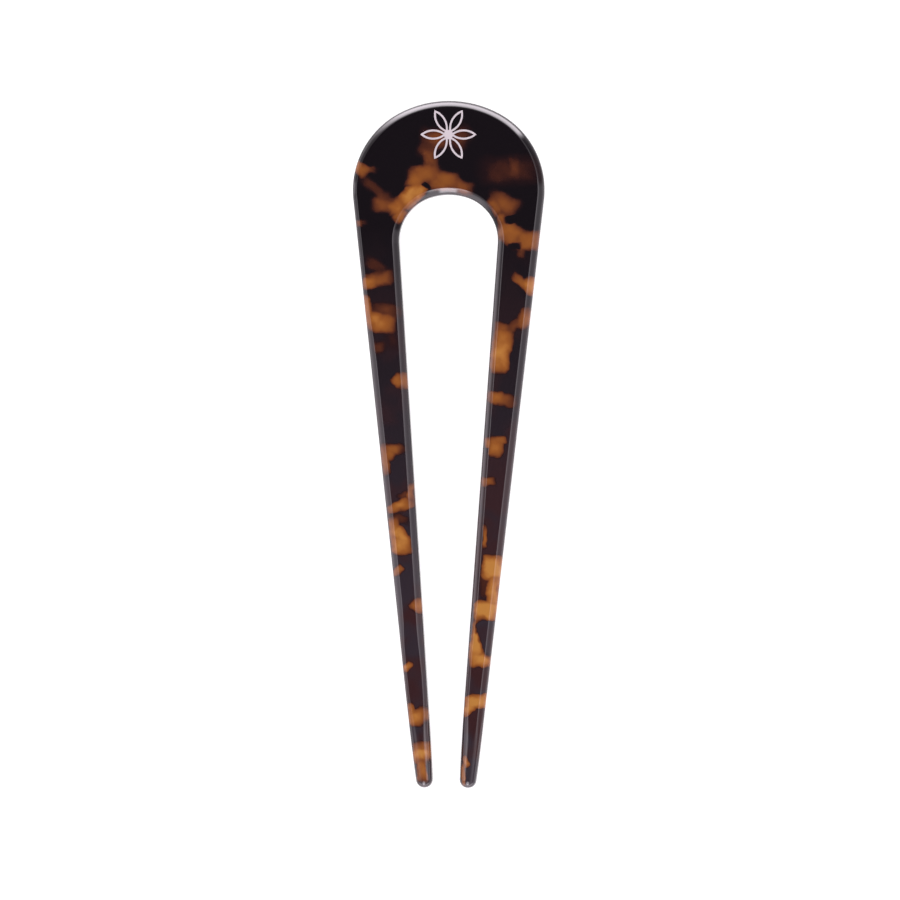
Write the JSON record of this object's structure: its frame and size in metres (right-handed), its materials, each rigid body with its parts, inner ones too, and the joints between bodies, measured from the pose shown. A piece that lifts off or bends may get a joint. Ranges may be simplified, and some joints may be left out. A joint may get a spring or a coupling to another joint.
{
  "type": "french hair pin",
  "caption": "Flat U-shaped hair pin with a broad rounded crown, two tapering prongs with round tips, and a small metal rosette set into the crown.",
  "frame": {"origin": "middle of the pin's bounding box, on the surface that its back face lies on", "axes": "+Y from the prong tips to the crown, +Z out of the front face, X across the two prongs"},
  "size_m": [0.0334, 0.12, 0.004],
  "materials": {
    "tortoise_acetate": "polished cellulose acetate, near black with amber and red-brown tortoise patches",
    "silver_mark": "thin silver-coloured metal, set flush and polished with the sheet"
  },
  "bodies": {
    "root": {"pin_body": "tortoise_acetate", "crown_rosette": "silver_mark"}
  },
  "joints": []
}
